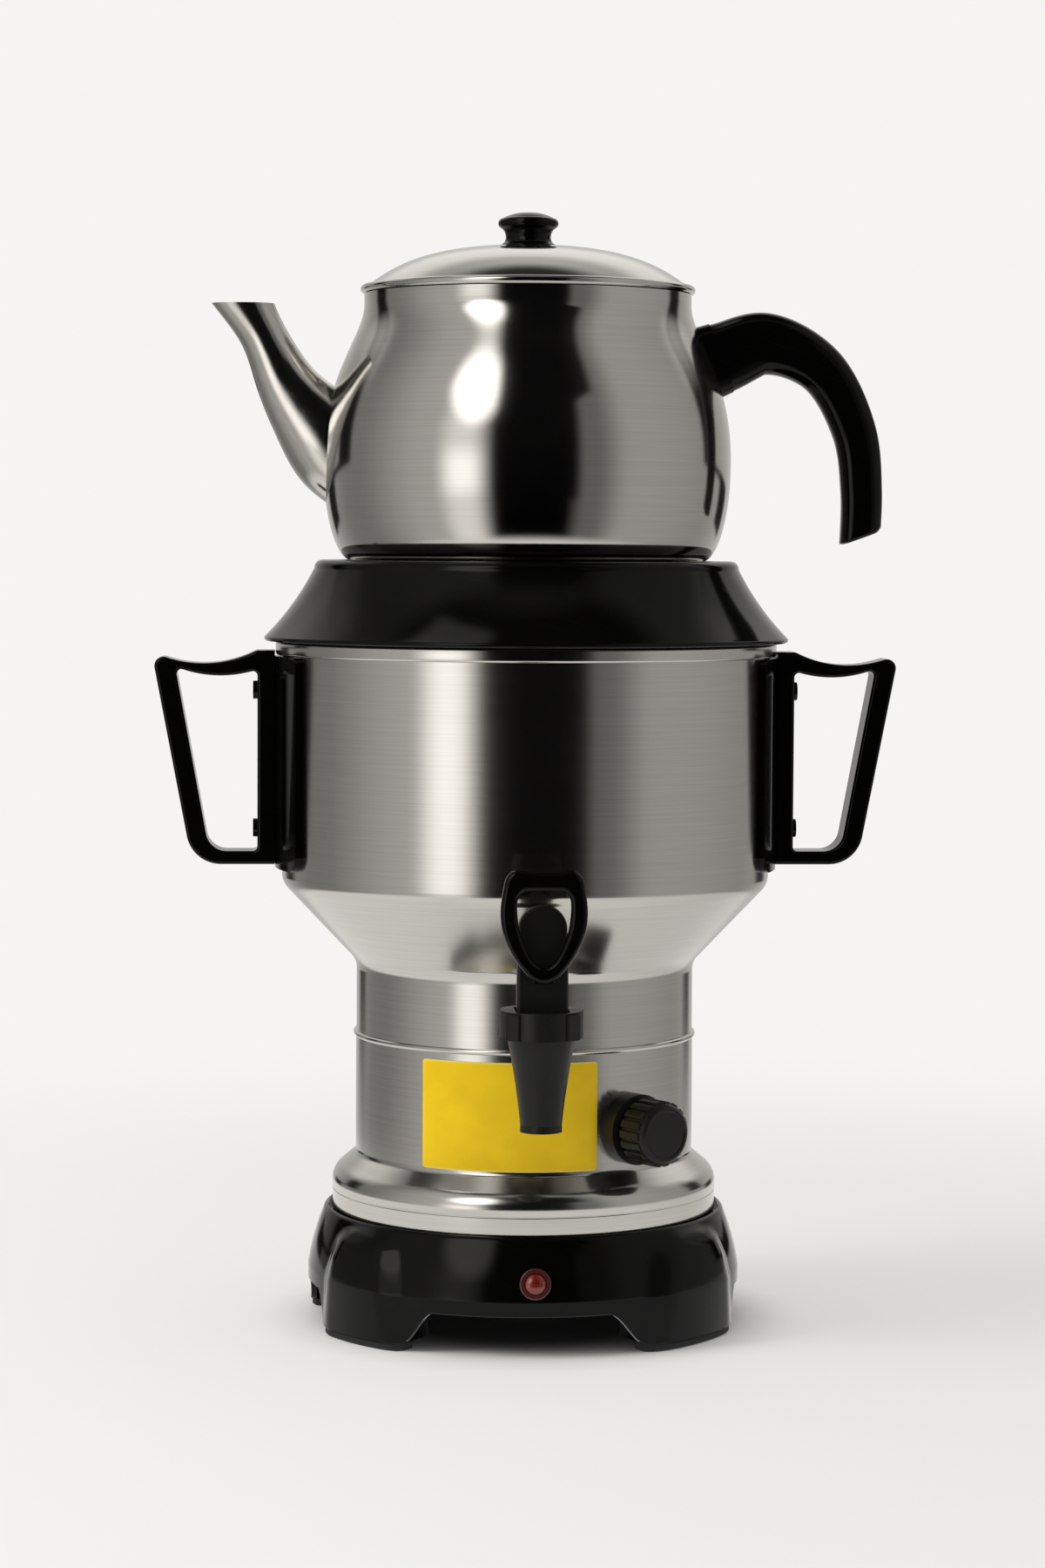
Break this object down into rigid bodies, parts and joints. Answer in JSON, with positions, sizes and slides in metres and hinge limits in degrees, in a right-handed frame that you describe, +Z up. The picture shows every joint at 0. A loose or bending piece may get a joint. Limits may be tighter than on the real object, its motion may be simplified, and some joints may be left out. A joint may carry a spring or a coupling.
{
  "type": "electric samovar",
  "caption": "Electric two-tier samovar: steel boiler with front tap and side handles on a black heated base, teapot keeping warm on the black collar.",
  "frame": {"origin": "on the plane that the feet rest on, where the boiler's vertical axis meets it", "axes": "+Z up along the boiler's axis; the tap faces -Y; the teapot's spout points to -X and its handle to +X"},
  "size_m": [0.3226, 0.257, 0.4819],
  "materials": {
    "brushed_steel": "stainless steel, fine brushing round the body",
    "polished_steel": "bright stainless steel",
    "gloss_black": "high-gloss black moulding",
    "matt_black": "satin black moulding",
    "foot_rubber": "matt rubber",
    "seal_silicone": "matt silicone",
    "red_lens": "clear red moulding",
    "lamp_ring": "dark red glossy ring",
    "brass": "plain brass",
    "element_steel": "heat-dulled steel tube",
    "wire_sleeve": "woven glass-fibre sleeve",
    "yellow_label": "yellow vinyl film"
  },
  "bodies": {
    "boiler": {"base_shell": "gloss_black", "foot_pads": "foot_rubber", "base_cover": "matt_black", "cover_screws": "polished_steel", "lamp_bezel": "lamp_ring", "lamp_lens": "red_lens", "lamp_neon": "red_lens", "mains_inlet": "matt_black", "inlet_pins": "brass", "terminal_block": "matt_black", "internal_wiring": "wire_sleeve", "tie_rod": "polished_steel", "tie_nut": "polished_steel", "skirt": "brushed_steel", "seam_band": "polished_steel", "side_label": "yellow_label", "boiler": "brushed_steel", "boiler_floor": "brushed_steel", "boiler_rim": "polished_steel", "heating_element": "element_steel", "element_seals": "seal_silicone", "element_nuts": "polished_steel", "thermal_cutout": "matt_black", "thermostat": "matt_black", "knob_bezel": "matt_black", "left_handle_saddle": "gloss_black", "left_handle_grip": "gloss_black", "left_handle_screws": "polished_steel", "right_handle_saddle": "gloss_black", "right_handle_grip": "gloss_black", "right_handle_screws": "polished_steel", "tap_body": "matt_black", "tap_seal": "seal_silicone", "tap_nut": "polished_steel", "tap_bonnet": "matt_black", "lever_pin": "polished_steel"},
    "collar": {"collar": "gloss_black", "collar_liner": "brushed_steel", "liner_screws": "polished_steel"},
    "teapot": {"teapot_body": "brushed_steel", "teapot_base_disc": "brushed_steel", "teapot_spout": "brushed_steel", "handle_ferrule": "polished_steel", "teapot_handle": "gloss_black", "handle_stud": "polished_steel"},
    "teapot_lid": {"teapot_lid": "brushed_steel", "lid_lip": "brushed_steel", "lid_knob": "gloss_black", "lid_screw": "polished_steel"},
    "heat_knob": {"thermostat_knob": "matt_black", "thermostat_shaft": "polished_steel"},
    "tap_lever": {"tap_lever": "matt_black", "lever_loop": "gloss_black"},
    "tap_stem": {"tap_stem": "matt_black", "valve_cup": "seal_silicone", "tap_spring": "polished_steel"}
  },
  "joints": [
    {"name": "collar_lift", "type": "slide", "parent": "boiler", "child": "collar", "axis": [0, 0, 1], "range_m": [0, 0.15]},
    {"name": "teapot_lift", "type": "slide", "parent": "collar", "child": "teapot", "axis": [0, 0, 1], "range_m": [0, 0.15]},
    {"name": "lid_lift", "type": "slide", "parent": "teapot", "child": "teapot_lid", "axis": [0, 0, 1], "range_m": [0, 0.12]},
    {"name": "heat_knob_turn", "type": "hinge", "parent": "boiler", "child": "heat_knob", "pos_m": [0.04701, -0.0684, 0.092], "axis": [0.5664, -0.8241, 0], "range_deg": [-270, 0]},
    {"name": "tap_lever_tip", "type": "hinge", "parent": "boiler", "child": "tap_lever", "pos_m": [0, -0.131, 0.148], "axis": [1, 0, 0], "range_deg": [0, 35]},
    {"name": "tap_stem_lift", "type": "slide", "parent": "boiler", "child": "tap_stem", "axis": [0, 0, 1], "range_m": [0, 0.00397], "stiffness_N_per_m": 200, "springref_m": -0.002, "deforming": ["tap_spring"]}
  ],
  "couplings": [
    {"joint": "tap_lever_tip", "follows": "tap_stem_lift", "rad_per_m": 153.85}
  ]
}
